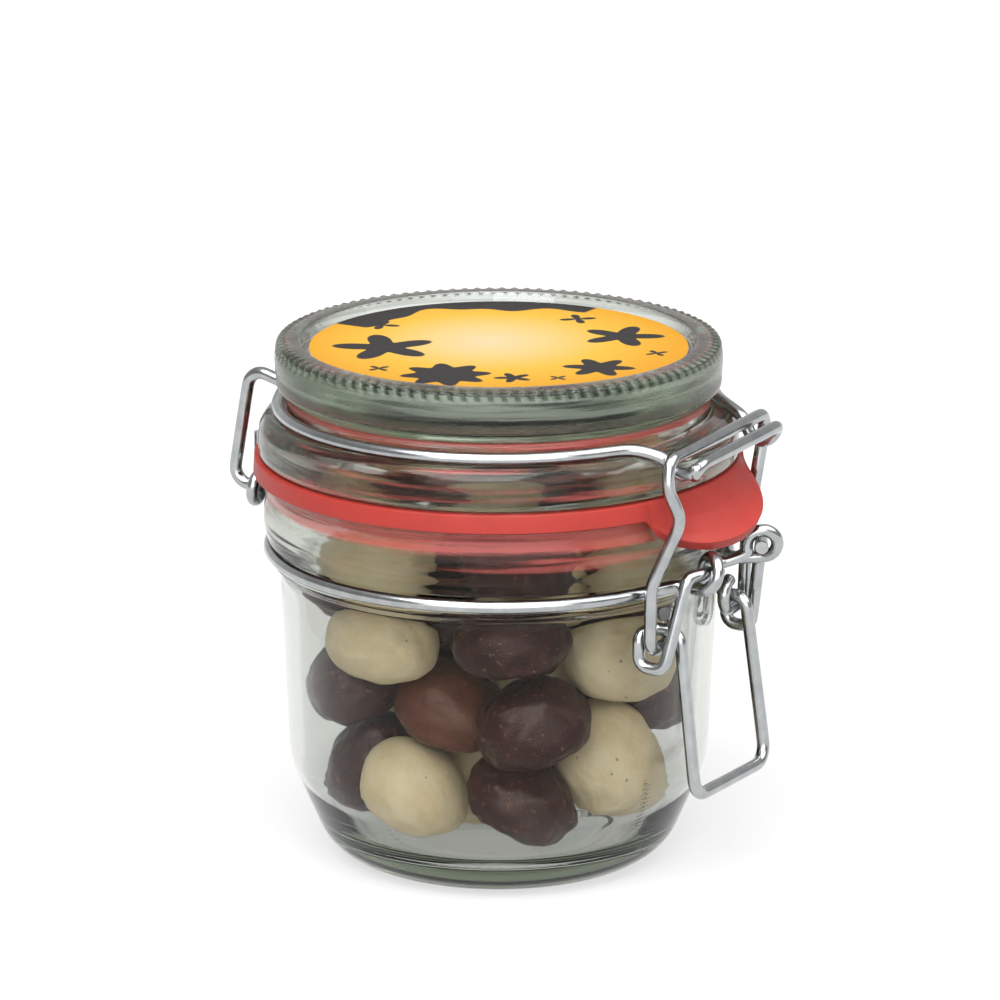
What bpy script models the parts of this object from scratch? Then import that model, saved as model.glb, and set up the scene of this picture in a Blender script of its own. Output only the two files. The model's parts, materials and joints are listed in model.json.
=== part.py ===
"""Clip-top glass jar filled with chocolate kruidnoten, in metres, +Z up.

The origin is on the jar's axis, on the underside of its base. The latch is at +X and the hinge at -X.
"""

import math

import bmesh
import bpy
import numpy as np
from mathutils import Matrix, Vector

MM = 0.001

# Driving dimensions, in millimetres
JAR_HEIGHT = 95.4
JAR_RIM_TOP = 71.0
NECK_RADIUS = 41.4
COLLAR_RADIUS = 42.4
BODY_TOP_RADIUS = 39.35
BODY_LOW_RADIUS = 38.0
HEEL_FLOOR_RADIUS = 30.25
WALL = 2.8
FLOOR_TOP = 5.6
LID_RIM_RADIUS = 40.1
LID_FLANGE_RADIUS = 43.2
LID_BOTTOM = 74.8
RING_RADIUS = 44.0
RING_TOP = 74.5
RING_BOTTOM = 71.3
TAB_REACH = 7.0
LABEL_RADIUS = 33.9
LABEL_TOP = 93.9
LABEL_THICKNESS = 0.3
WIRE = 2.4
NECK_WIRE_RADIUS = 41.3
NECK_WIRE_Z = 57.4
BAIL_RADIUS = 39.6
BAIL_Z = 83.5
EYE_X = 47.2
EYE_Y = 10.9
EYE_Z = 60.6
EYE_SPLAY = math.radians(25)
EYE_RADIUS = 2.8
PIN_Y = 13.9
PIN_Z = 50.2
CURL_X = 39.9
CURL_RADIUS = 2.82
CRANK_OUT = 4.3
CRANK_LOW = {-1: 44.0, 1: 43.2}
LEVER_X = 46.7
LEVER_Z = 19.7
HINGE_Z = 64.2
LATCH_SHIFT = {-1: -0.3, 1: 0.0}
LATCH_OUT = {-1: 0.0, 1: 0.9}
LATCH_IN = {-1: 0.0, 1: 2.4}
LINK_KINK = {-1: 45.2, 1: 42.8}
PIECE = (10.4, 9.5, 8.0)
CORE_RADIUS = 25.0
CORE_BOTTOM = 12.0
CORE_TOP = 76.0
HEAP_TOP = 84.5
HEAP_COUNT = 41
GAP = 0.8
SETTLING_STEPS = 600

# How finely round things are faceted
AROUND = 36
WIRE_SIDES = 8
TURN = math.tau


def clear_scene():
    for obj in list(bpy.data.objects):
        bpy.data.objects.remove(obj, do_unlink=True)


def material(name, colour, roughness, metallic=0.0, alpha=1.0):
    made = bpy.data.materials.new(name)
    made.use_nodes = True
    shader = made.node_tree.nodes["Principled BSDF"]
    shader.inputs["Base Color"].default_value = (*colour, 1.0)
    shader.inputs["Roughness"].default_value = roughness
    shader.inputs["Metallic"].default_value = metallic
    shader.inputs["Alpha"].default_value = alpha
    made.diffuse_color = (*colour, alpha)
    return made


def add_object(name, data, finish):
    obj = bpy.data.objects.new(name, data)
    bpy.context.scene.collection.objects.link(obj)
    data.materials.append(finish)
    return obj


def mesh_object(name, points, faces, finish):
    """A mesh from points in millimetres, with its normals turned outwards."""
    mesh = bpy.data.meshes.new(name)
    mesh.from_pydata([tuple(c * MM for c in p) for p in points], [], faces)
    shape = bmesh.new()
    shape.from_mesh(mesh)
    bmesh.ops.recalc_face_normals(shape, faces=shape.faces)
    shape.to_mesh(mesh)
    shape.free()
    mesh.shade_smooth()
    return add_object(name, mesh, finish)


def rounded(corners, step=30.0):
    """A flat outline through (x, y, radius) corners, each corner turned into an arc of that radius."""
    points = []
    for i, (x, y, radius) in enumerate(corners):
        here = Vector((x, y))
        if radius == 0 or i in (0, len(corners) - 1):
            points.append(here)
            continue
        points += arc_at(Vector(corners[i - 1][:2]), here, Vector(corners[i + 1][:2]), radius, step)
    return points


def arc_at(before, here, after, radius, step):
    """The points of the arc of this radius that rounds the corner here, in the plane or in space."""
    a = (before - here).normalized()
    b = (after - here).normalized()
    half = a.angle(b) / 2
    middle = here + (a + b).normalized() * (radius / math.sin(half))
    start = here + a * (radius / math.tan(half)) - middle
    end = here + b * (radius / math.tan(half)) - middle
    sweep = math.pi - 2 * half
    count = max(1, round(math.degrees(sweep) / step))
    points = []
    for k in range(count + 1):
        share = k / count
        mixed = start * math.sin((1 - share) * sweep) + end * math.sin(share * sweep)
        points.append(middle + mixed / math.sin(sweep))
    return points


def turned(name, outline, finish):
    """A solid turned about Z. The outline, in millimetres, starts on the axis and runs down its outer side."""
    mesh = bpy.data.meshes.new(name)
    points = [(p[0] * MM, 0.0, p[1] * MM) for p in outline]
    mesh.from_pydata(points, [(i, i + 1) for i in range(len(points) - 1)], [])
    obj = add_object(name, mesh, finish)
    screw = obj.modifiers.new("Turn", "SCREW")
    screw.steps = AROUND
    screw.render_steps = AROUND
    screw.use_merge_vertices = True
    screw.merge_threshold = 0.0001
    screw.use_smooth_shade = True
    return obj


def jar_outline():
    """The inside from its floor up, over the mouth, and down the outside to the base."""
    inner_top = BODY_TOP_RADIUS - WALL
    inner_low = BODY_LOW_RADIUS - WALL
    inside = [
        (0, FLOOR_TOP, 0),
        (HEEL_FLOOR_RADIUS - 1.6, FLOOR_TOP, 7),
        (inner_low, 19, 12),
        (inner_top, 49, 3),
        (35.4, 55, 3),
        (35.6, 66, 3),
        (36.9, JAR_RIM_TOP, 0),
    ]
    outside = [
        (NECK_RADIUS, JAR_RIM_TOP, 0.8),
        (NECK_RADIUS, 69.0, 0),
        (40.9, 68.4, 0),
        (COLLAR_RADIUS, 64.6, 2),
        (COLLAR_RADIUS - 0.1, 62.6, 2),
        (NECK_RADIUS, 59.6, 0),
        (39.65, 59.0, 0),
        (39.65, 55.9, 0),
        (41.0, 55.7, 0.7),
        (BODY_TOP_RADIUS, 53.0, 2),
        (BODY_LOW_RADIUS, 18.2, 16),
        (HEEL_FLOOR_RADIUS, 0, 10),
        (0, 0, 0),
    ]
    return rounded(inside, 45) + rounded(outside, 30)


def lid_outline():
    """The top with its recess, down the rim, the wire's groove and the flange, and up inside the hollow."""
    return rounded(
        [
            (0, LABEL_TOP - 0.6, 0),
            (34.5, LABEL_TOP - 0.6, 0.4),
            (35.4, JAR_HEIGHT, 0.5),
            (LID_RIM_RADIUS, JAR_HEIGHT, 1.4),
            (LID_RIM_RADIUS, 87.0, 1.0),
            (37.95, 85.6, 0),
            (37.95, 81.9, 0),
            (41.6, 81.7, 1.5),
            (LID_FLANGE_RADIUS, 79.4, 1.5),
            (LID_FLANGE_RADIUS, LID_BOTTOM, 0.6),
            (35.8, LID_BOTTOM, 0),
            (35.6, 72.6, 0.5),
            (33.6, 72.6, 0.5),
            (33.2, 86.0, 4),
            (22.0, 89.4, 6),
            (0, 89.6, 0),
        ],
        40,
    )


def label_outline():
    low = LABEL_TOP - LABEL_THICKNESS
    return [(0, LABEL_TOP), (LABEL_RADIUS, LABEL_TOP), (LABEL_RADIUS, low), (0, low)]


def tab_bump(angle):
    """How much of the tab's reach the rubber has at this angle from +X, from 0 to 1."""
    share = min(1.0, abs(math.degrees(angle)) / 27.0)
    return ((1 + math.cos(math.pi * share)) / 2) ** 0.8


def ring_section(angle):
    """The rubber's section in (radius, z) at this angle: a flat band, or the drooping tab near +X."""
    bump = tab_bump(angle)
    edge = RING_RADIUS + TAB_REACH * bump
    droop = (7.1 - 0.238 * edge * math.sin(angle)) * bump**0.3
    thickness = RING_TOP - RING_BOTTOM - 1.0 * min(1.0, 2 * bump)
    top = [Vector((36.9, RING_TOP)), Vector((42.0, RING_TOP))]
    for k in (0, 1, 2, 3):
        t = k / 3
        top.append(Vector((43.3 + (edge - 43.3) * t, RING_TOP - droop * (1 - (1 - t) ** 1.6))))
    under = [Vector((36.9, RING_BOTTOM)), Vector((41.6, RING_BOTTOM)), Vector((43.3, RING_BOTTOM))]
    for k in (3, 4, 5):
        along = (top[min(k + 1, 5)] - top[k - 1]).normalized()
        below = top[k] + Vector((along.y, -along.x)) * thickness
        under.append(Vector((max(below.x, 43.0 + 0.4 * (k - 2)), below.y)))
    return top + under[::-1]


def make_ring(finish):
    """The rubber ring with its round tab, made from one section for each angle."""
    tab_steps = [math.radians(a) for a in (-27, -23, -19, -15, -10, -5, 0, 5, 10, 15, 19, 23, 27)]
    rest = [math.radians(27 + 306 * k / 41) for k in range(1, 41)]
    points, faces = [], []
    angles = tab_steps + rest
    for angle in angles:
        for p in ring_section(angle):
            points.append((p.x * math.cos(angle), p.x * math.sin(angle), p.y))
    size = len(points) // len(angles)
    for i in range(len(angles)):
        j = (i + 1) % len(angles)
        for k in range(size):
            m = (k + 1) % size
            faces.append((i * size + k, j * size + k, j * size + m, i * size + m))
    return mesh_object("rubber_ring", points, faces, finish)


def arc(radius, z, start, end, step=9.0):
    """Points on a level circle, from one angle to another, both in degrees."""
    count = max(1, round(abs(end - start) / step))
    points = []
    for k in range(count + 1):
        angle = math.radians(start + (end - start) * k / count)
        points.append(Vector((radius * math.cos(angle), radius * math.sin(angle), z)))
    return points


def bent(corners, step=26.0):
    """A wire's route through (x, y, z, bend radius) corners."""
    points = []
    for i, corner in enumerate(corners):
        here = Vector(corner[:3])
        if corner[3] == 0 or i in (0, len(corners) - 1):
            points.append(here)
            continue
        before = Vector(corners[i - 1][:3])
        after = Vector(corners[i + 1][:3])
        points += arc_at(before, here, after, corner[3], step)
    return points


def without_repeats(points):
    kept = [points[0]]
    for p in points[1:]:
        if (p - kept[-1]).length > 0.25:
            kept.append(p)
    return kept


def wire(name, points, finish):
    """A round wire along the points, as a curve with a round bevel and filled ends."""
    points = without_repeats(points)
    curve = bpy.data.curves.new(name, "CURVE")
    curve.dimensions = "3D"
    curve.bevel_depth = WIRE / 2 * MM
    curve.bevel_resolution = (WIRE_SIDES - 4) // 2
    curve.use_fill_caps = True
    spline = curve.splines.new("POLY")
    spline.points.add(len(points) - 1)
    for i, p in enumerate(points):
        spline.points[i].co = (*(p * MM), 1.0)
    return add_object(name, curve, finish)


def eye_place(side, out, across, up):
    """A place near the middle of the latch eye: outwards in its plane, across it, and up."""
    x = EYE_X + LATCH_SHIFT[side] + out * math.cos(EYE_SPLAY) - across * math.sin(EYE_SPLAY)
    y = EYE_Y + out * math.sin(EYE_SPLAY) + across * math.cos(EYE_SPLAY)
    return (x, y, EYE_Z + up)


def latch_eye(side):
    """A half of the neck wire at the latch: out of the groove, once round, and back in."""
    points = bent(
        [
            (37.1, 18.1, NECK_WIRE_Z, 0),
            (*eye_place(side, -5.8, 1.4, NECK_WIRE_Z - EYE_Z), 2.6),
            (*eye_place(side, 0, 1.4, -EYE_RADIUS), 0),
        ]
    )
    for k in range(1, 13):
        angle = math.radians(-90 + 25 * k)
        across = 1.4 - 2.8 * min(1.0, k / 8)
        up = EYE_RADIUS * math.sin(angle)
        points.append(Vector(eye_place(side, EYE_RADIUS * math.cos(angle), across, up)))
    points += bent([(*eye_place(side, -3.8, -1.5, -2.0), 0), (41.4, 6.6, NECK_WIRE_Z, 0)])
    return [Vector((p.x, side * p.y, p.z)) for p in points]


def hinge_eye(side):
    """An end of the neck wire at the hinge: a stub down, once round about X, and into the groove."""
    y, z, radius = 8.0, HINGE_Z, 2.75
    x_in, x_out = -43.6, -46.4
    points = bent([(x_out, y - radius, 73.6, 0), (x_out, y - radius, z + 1.5, 0)])
    for k in range(15):
        angle = math.radians(180 + 25 * k)
        x = x_out + (x_in - x_out) * min(1.0, k / 14)
        points.append(Vector((x, y + radius * math.cos(angle), z + radius * math.sin(angle))))
    points += bent(
        [(x_in, y - radius, 61.4, 0), (x_in - 0.4, y - radius, 57.4, 2.6), (-41.0, 7.4, NECK_WIRE_Z, 0)]
    )
    return [Vector((p.x, side * p.y, p.z)) for p in points]


def neck_wire_route():
    """From one hinge stub round the near side, across the front between the latch eyes, and back."""
    halves = [
        hinge_eye(side) + arc(NECK_WIRE_RADIUS, NECK_WIRE_Z, side * 168.5, side * 26)[1:] + latch_eye(side)
        for side in (-1, 1)
    ]
    return halves[0] + arc(NECK_WIRE_RADIUS, NECK_WIRE_Z, -8, 8) + halves[1][::-1]


def bail_half(side):
    """From one hinge end up, round the lid's groove, and out into the tongue at the latch."""
    half = bent(
        [
            (-42.6, side * 8.0, HINGE_Z, 0),
            (-50.6, side * 8.0, HINGE_Z, 3.0),
            (-46.6, side * 8.0, 86.4, 3.0),
            (-39.0, side * 8.0, 84.0, 2.4),
            (-36.6, side * 15.2, BAIL_Z, 0),
        ]
    )
    half += arc(BAIL_RADIUS, BAIL_Z, side * 153, side * 32)
    half += bent(
        [
            (36.0, side * 18.2, 83.5, 0),
            (41.0, side * 16.0, 82.0, 4),
            (44.2, side * 14.9, 75.2, 3.0),
            (47.8 + side * 0.9, side * 15.2, 81.4 + side * 0.4, 2.4),
            (47.8, 0.0, 81.4, 0),
        ]
    )
    return half


def bail_route():
    return bail_half(-1) + bail_half(1)[::-1][1:]


def link_half(side):
    """From the hook round the lever's pin, up the leg, to the middle of the bar that holds the tongue."""
    x = CURL_X + LATCH_OUT[side]
    y = PIN_Y - LATCH_IN[side]
    half = []
    for k in range(8):
        angle = math.radians(96 + 24 * k)
        half.append(Vector((x, y + CURL_RADIUS * math.cos(angle), PIN_Z + CURL_RADIUS * math.sin(angle))))
    half += bent(
        [
            (x, y, PIN_Z - CURL_RADIUS, 0),
            (x, y + 5.5, PIN_Z - CURL_RADIUS, 2.6),
            (x + 0.3, y + 5.9, 59.5, 6),
            (LINK_KINK[side], 17.9, 71.8, 5),
            (43.4, 19.4 - 0.6 * side, 77.4, 5),
            (43.6 + side * 0.4, 18.9 - 0.2 * side, 82.6, 2.6),
            (43.8, 0.0, 82.6, 0),
        ]
    )
    return [Vector((p.x, side * p.y, p.z)) for p in half]


def link_route():
    return link_half(-1) + link_half(1)[::-1][1:]


def lever_half(side):
    """From the cut end in the neck wire's eye, down and round the crank, along the pin, and down one leg."""
    out = LATCH_OUT[side]
    pin = PIN_Y - LATCH_IN[side]
    crank = pin + CRANK_OUT
    half = bent(
        [
            (*eye_place(side, 0, -3.0, 0), 0),
            (*eye_place(side, 0, 4.6, 0), 2.0),
            (42.0 + out, crank, CRANK_LOW[side], 2.1),
            (37.1 + out, crank, CRANK_LOW[side] + 0.2, 2.1),
            (37.1 + out, crank, PIN_Z, 1.8),
            (38.0 + out, pin, PIN_Z, 1.8),
            (43.4 + 0.4 * side, pin, PIN_Z, 2.6),
            (LEVER_X + side * 0.5, 13.6, LEVER_Z - side * 0.4, 3.4),
            (LEVER_X, 0.0, LEVER_Z, 0),
        ]
    )
    return [Vector((p.x, side * p.y, p.z)) for p in half]


def lever_route():
    return lever_half(-1) + lever_half(1)[::-1][1:]


# Each piece that lies against the glass where it shows: the angle round the jar from +X, the distance from
# the axis and the height of its middle, then how far its long side is turned and its flat side is tipped.
PLACED = (
    (-117, 25.6, 43.0, 0, 15),
    (-57, 25.2, 46.8, 0, 15),
    (-4, 26.0, 40.0, 10, 40),
    (-136, 25.4, 33.5, 20, 40),
    (-141, 25.0, 19.5, 60, 60),
    (-93, 17.0, 29.4, 0, 30),
    (-50, 26.0, 29.5, 20, 20),
    (-13, 25.2, 23.4, 25, 15),
    (24, 25.5, 16.2, 0, 60),
    (17, 25.0, 30.0, 30, 60),
    (-109, 24.8, 16.3, -25, 20),
    (-48, 23.8, 14.4, -28, 20),
    (-116, 25.8, 59.0, 0, 20),
    (-55, 25.2, 61.5, 0, 20),
    (8, 26.0, 55.5, 0, 20),
)


def inner_wall(z):
    """How far from the axis the side of a piece can reach, for middles at the heights z."""
    heights = [14, 18, 22, 26, 46, 52, 66, 70, 90]
    return np.interp(z, heights, [30.8, 32.8, 34.4, 35.3, 36.2, 35.2, 35.2, 32.8, 32.0])


def facing(angle, turn, tip):
    """A piece's axes as columns: turned in the plane of the glass at this angle, then tipped out of it."""
    around = Matrix.Rotation(math.radians(angle), 3, "Z")
    upright = Matrix.Rotation(math.radians(90), 3, "Z") @ Matrix.Rotation(math.radians(tip), 3, "X")
    return np.array(around @ Matrix.Rotation(math.radians(turn), 3, "X") @ upright)


def small_turns(vectors):
    """Rotation matrices of small turn vectors, one for each piece."""
    return np.array([np.array(Matrix.Rotation(v.length, 3, v) if v.length > 0 else Matrix.Identity(3))
                     for v in map(Vector, vectors)])


def kept_inside(balls, radius):
    """How far each piece, given as a few balls, has to move to be clear of the glass."""
    out = np.hypot(balls[..., 0], balls[..., 1]) + 1e-6
    over = np.maximum(0, out - (inner_wall(balls[..., 2]) - radius - GAP))
    worst = over.argmax(axis=1)
    rows = np.arange(len(balls))
    move = -balls[rows, worst] * (over[rows, worst] / out[rows, worst])[:, None]
    move[:, 2] = np.maximum(0, FLOOR_TOP + 2 * GAP + radius - balls[..., 2]).max(axis=1)
    move[:, 2] -= np.maximum(0, balls[..., 2] + radius - HEAP_TOP).max(axis=1)
    return move


def settled_pieces():
    """The middles and axes of all the pieces, once they have slid off one another and off the glass."""
    random = np.random.default_rng(7)
    wanted = []
    axes = []
    for angle, out, z, turn, tip in PLACED:
        wanted.append((out * math.cos(math.radians(angle)), out * math.sin(math.radians(angle)), z))
        axes.append(facing(angle, turn, tip))
    wanted = np.array(wanted)
    fixed = len(wanted)
    for _ in range(HEAP_COUNT - fixed):
        axes.append(facing(*random.uniform(0, 360, 3)))
    axes = np.array(axes)
    rest = HEAP_COUNT - fixed
    angles = random.uniform(0, TURN, rest)
    spread = 24 * np.sqrt(random.uniform(0, 1, rest))
    heights = np.linspace(14, HEAP_TOP, rest)
    middles = np.vstack([wanted, np.column_stack([spread * np.cos(angles), spread * np.sin(angles), heights])])
    ball = PIECE[2]
    bumps = np.array([(0, 0, 0), (1, 0, 0), (-1, 0, 0), (0, 1, 0), (0, -1, 0)]) * (
        np.array([PIECE[0] - ball, PIECE[1] - ball, 0])
    )
    size = len(bumps)
    owner = np.repeat(np.arange(HEAP_COUNT), size)
    others = owner[:, None] != owner[None, :]
    for step in range(SETTLING_STEPS):
        arms = np.einsum("pij,bj->pbi", axes, bumps).reshape(-1, 3)
        balls = middles[owner] + arms
        away = balls[:, None, :] - balls[None, :, :]
        distance = np.linalg.norm(away, axis=2) + 1e-6
        overlap = np.where(others, np.maximum(0, 2 * ball + 0.1 - distance), 0)
        shared = overlap.reshape(HEAP_COUNT, size, HEAP_COUNT, size).sum(axis=(1, 3)) + 1e-6
        weight = overlap / np.repeat(np.repeat(shared, size, 0), size, 1)
        push = np.einsum("ijk,ij->ik", away, weight * overlap / distance) * 0.4
        move = push.reshape(HEAP_COUNT, size, 3).sum(axis=1)
        spin = np.cross(arms, push).reshape(HEAP_COUNT, size, 3).sum(axis=1) * 0.02
        calm = step > 0.85 * SETTLING_STEPS
        if not calm:
            move[:, 2] -= 0.08
        move[:fixed] = move[:fixed] * 0.4 + (wanted - middles[:fixed]) * (0.08 if calm else 0.3)
        spin[:fixed] *= 0.1
        middles += move + kept_inside(balls.reshape(HEAP_COUNT, size, 3), ball)
        axes = np.einsum("pij,pjk->pik", small_turns(spin), axes)
    return middles, axes


def ellipsoid(name, middle, axes, group):
    """One piece with few sides, as an object in the collection."""
    mesh = bpy.data.meshes.new(name)
    shape = bmesh.new()
    bmesh.ops.create_icosphere(shape, subdivisions=2, radius=1.0)
    for vert in shape.verts:
        along = axes @ (np.array(vert.co) * np.array(PIECE))
        vert.co = Vector(middle + along) * MM
    shape.to_mesh(mesh)
    shape.free()
    group.objects.link(bpy.data.objects.new(name, mesh))


def fill_hollows(mesh):
    """Keeps only the outermost shell of the mesh, which fills the hollows closed up inside it."""
    shape = bmesh.new()
    shape.from_mesh(mesh)
    left = set(shape.faces)
    shells = []
    while left:
        shell = {left.pop()}
        edge = list(shell)
        while edge:
            face = edge.pop()
            for side in face.edges:
                for near in side.link_faces:
                    if near in left:
                        left.remove(near)
                        shell.add(near)
                        edge.append(near)
        shells.append(shell)
    keep = max(shells, key=len)
    drop = [face for shell in shells if shell is not keep for face in shell]
    bmesh.ops.delete(shape, geom=drop, context="FACES")
    shape.to_mesh(mesh)
    shape.free()


def make_heap(finish):
    """All the pieces fused on a core, as one solid."""
    core = turned("kruidnoten", rounded(
        [(0, CORE_TOP, 0), (CORE_RADIUS, CORE_TOP, 6), (CORE_RADIUS, CORE_BOTTOM, 6), (0, CORE_BOTTOM, 0)], 45
    ), finish)
    core.modifiers["Turn"].steps = 12
    core.modifiers["Turn"].render_steps = 12
    group = bpy.data.collections.new("pieces")
    bpy.context.scene.collection.children.link(group)
    middles, axes = settled_pieces()
    for k in range(HEAP_COUNT):
        ellipsoid(f"piece_{k}", middles[k], axes[k], group)
    join = core.modifiers.new("Fuse", "BOOLEAN")
    join.operation = "UNION"
    join.solver = "EXACT"
    join.operand_type = "COLLECTION"
    join.collection = group
    graph = bpy.context.evaluated_depsgraph_get()
    fused = bpy.data.meshes.new_from_object(core.evaluated_get(graph))
    core.modifiers.clear()
    core.data = fused
    for obj in list(group.objects):
        bpy.data.objects.remove(obj, do_unlink=True)
    bpy.data.collections.remove(group)
    fill_hollows(fused)


def main():
    clear_scene()
    glass = material("clear glass", (0.86, 0.92, 0.88), 0.05, alpha=0.35)
    rubber = material("red rubber", (0.62, 0.05, 0.04), 0.45)
    steel = material("zinc-plated wire", (0.62, 0.63, 0.64), 0.32, metallic=1.0)
    paper = material("printed label", (0.9, 0.5, 0.08), 0.3)
    chocolate = material("chocolate coating", (0.30, 0.16, 0.10), 0.4)
    turned("jar_glass", jar_outline(), glass)
    turned("lid_glass", lid_outline(), glass)
    turned("label", label_outline(), paper)
    make_ring(rubber)
    wire("neck_wire", neck_wire_route(), steel)
    wire("bail_wire", bail_route(), steel)
    wire("link_wire", link_route(), steel)
    wire("lever_wire", lever_route(), steel)
    make_heap(chocolate)


main()
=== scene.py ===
"""The jar of chocolate kruidnoten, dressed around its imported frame."""

import json
import math

import bmesh
import bpy
import numpy as np
from mathutils import Matrix, Vector

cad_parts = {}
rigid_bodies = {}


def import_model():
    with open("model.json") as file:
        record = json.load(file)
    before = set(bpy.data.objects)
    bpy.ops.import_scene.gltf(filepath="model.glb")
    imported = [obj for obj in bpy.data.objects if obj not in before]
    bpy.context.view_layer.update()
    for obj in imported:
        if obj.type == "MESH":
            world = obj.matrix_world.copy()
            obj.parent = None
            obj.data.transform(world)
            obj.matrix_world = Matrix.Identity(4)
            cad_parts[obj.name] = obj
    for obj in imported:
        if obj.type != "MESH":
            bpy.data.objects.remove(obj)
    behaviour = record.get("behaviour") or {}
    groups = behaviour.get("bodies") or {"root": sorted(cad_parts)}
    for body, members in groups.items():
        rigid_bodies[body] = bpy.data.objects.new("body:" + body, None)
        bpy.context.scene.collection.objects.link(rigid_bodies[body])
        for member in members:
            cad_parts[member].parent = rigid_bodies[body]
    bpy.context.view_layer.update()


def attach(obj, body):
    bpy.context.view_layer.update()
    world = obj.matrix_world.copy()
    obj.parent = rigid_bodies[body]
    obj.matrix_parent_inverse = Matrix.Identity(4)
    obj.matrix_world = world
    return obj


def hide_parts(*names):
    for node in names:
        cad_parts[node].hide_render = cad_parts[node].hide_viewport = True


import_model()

MM = 0.001

# The jar's sizes, in millimetres, as in its solids
JAR_RIM_TOP = 71.0
FLOOR_TOP = 5.6
JAR_HEIGHT = 95.4
RING_INNER = 36.9
RING_RADIUS = 43.9
RING_TOP = 74.5
RING_BOTTOM = 71.3
TAB_REACH = 7.0
TAB_HALF_ANGLE = 27.0
TAB_ROOT = 43.3
UNDER_ROOT = 42.9
RING_CORNER = 0.2
LABEL_RADIUS = 33.9
LABEL_TOP = 93.9
LABEL_THICKNESS = 0.3
WIRE = 2.3
NECK_WIRE_RADIUS = 41.3
NECK_WIRE_Z = 57.4
BAIL_RADIUS = 39.6
BAIL_Z = 83.5
EYE_X = 47.2
EYE_Y = 10.9
EYE_Z = 60.6
EYE_SPLAY = math.radians(25)
EYE_RADIUS = 2.8
EYE_WIDTH = 2.8
PIN_Y = 13.9
PIN_Z = 50.2
CURL_X = 39.9
CURL_RADIUS = 2.82
CRANK_OUT = 4.3
LEVER_X = 46.7
LEVER_Z = 19.7
HINGE_Y = 8.0
HINGE_Z = 64.2
BEADS = 106
BEAD_SLANT = 0.9
BEAD_DEPTH = 0.3

# How the latch's halves differ: the near one, -1, and the far one, 1
CRANK_LOW = {-1: 44.0, 1: 43.2}
LATCH_SHIFT = {-1: -0.3, 1: 0.0}
LATCH_OUT = {-1: 0.0, 1: 0.9}
LATCH_IN = {-1: 0.0, 1: 2.4}
LINK_KINK = {-1: 45.2, 1: 42.8}

# The heap: half the sizes of a piece, where the pieces start, and their gaps to the glass and to each other
PIECE = (10.4, 9.5, 8.0)
HEAP_LOW = 14
HEAP_TOP = 84.5
HEAP_SPREAD = 24
HEAP_COUNT = 41
GAP = 0.8
APART = 0.1
TINY = 1e-6
# How it settles: how far a step moves, turns and sinks the pieces, and how those placed one by one give way
SETTLING_STEPS = 600
CALM_FROM = 0.85
SINKING = 0.08
PUSH = 0.4
SPIN = 0.02
PLACED_MOVE = 0.4
PLACED_SPIN = 0.1
PULL = 0.3
PULL_CALM = 0.08
# The settled piece that isn't made, so that the jar's floor shows, and those that show white at the neck
LEFT_OUT = 22
WHITE_AT_NECK = (35, 37, 38)

# The camera, as the photograph was taken
VIEW_ANGLE = math.radians(27.5)
VIEW_DISTANCE = 972.0
VIEW_HEIGHT = 335.0
VIEW_PITCH = math.radians(15.51)
VIEW_LENS = 201.7
VIEW_ASIDE = 0.23

# How finely the pieces are made, in millimetres, degrees or sides
JAR_STEP = 0.9
LID_STEP = 1.9
BEND_STEP = 6.0
LID_BEND_STEP = 14.0
WIRE_STEP = 1.5
WIRE_SIDES = 20
WIRE_EASING = 4
SHORTEST = 0.02
JAR_SIDES = 224
LABEL_SIDES = 128


# ---------------------------------------------------------------- node trees

class Value:
    """A number or vector that varies over a piece. Operators on it add Math nodes."""

    def __init__(self, tree, socket):
        self.tree = tree
        self.socket = socket

    def math(self, operation, *others):
        return self.tree.add("ShaderNodeMath", {"operation": operation}, dict(enumerate((self, *others))))

    def __add__(self, other):
        return self.math("ADD", other)

    def __radd__(self, other):
        return self.math("ADD", other)

    def __sub__(self, other):
        return self.math("SUBTRACT", other)

    def __rsub__(self, other):
        return self.tree.add("ShaderNodeMath", {"operation": "SUBTRACT"}, {0: other, 1: self})

    def __mul__(self, other):
        return self.math("MULTIPLY", other)

    def __rmul__(self, other):
        return self.math("MULTIPLY", other)

    def __truediv__(self, other):
        return self.math("DIVIDE", other)

    def __pow__(self, other):
        return self.math("POWER", other)

    def cos(self):
        return self.math("COSINE")

    def sin(self):
        return self.math("SINE")

    def size(self):
        return self.math("ABSOLUTE")

    def at_least(self, other):
        return self.math("MAXIMUM", other)

    def at_most(self, other):
        return self.math("MINIMUM", other)

    def rise(self, start, end):
        """0 before start, 1 after end, and smooth in between; start may be the larger one."""
        settings = {"interpolation_type": "SMOOTHSTEP"}
        low, high, first, last = (start, end, 0.0, 1.0) if start < end else (end, start, 1.0, 0.0)
        sockets = {0: self, 1: low, 2: high, 3: first, 4: last}
        return self.tree.add("ShaderNodeMapRange", settings, sockets)

    def band(self, middle, half, soft):
        """1 within half of the middle, falling to 0 over the soft width on both sides."""
        return (self - middle).size().rise(half + soft, half)


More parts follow.
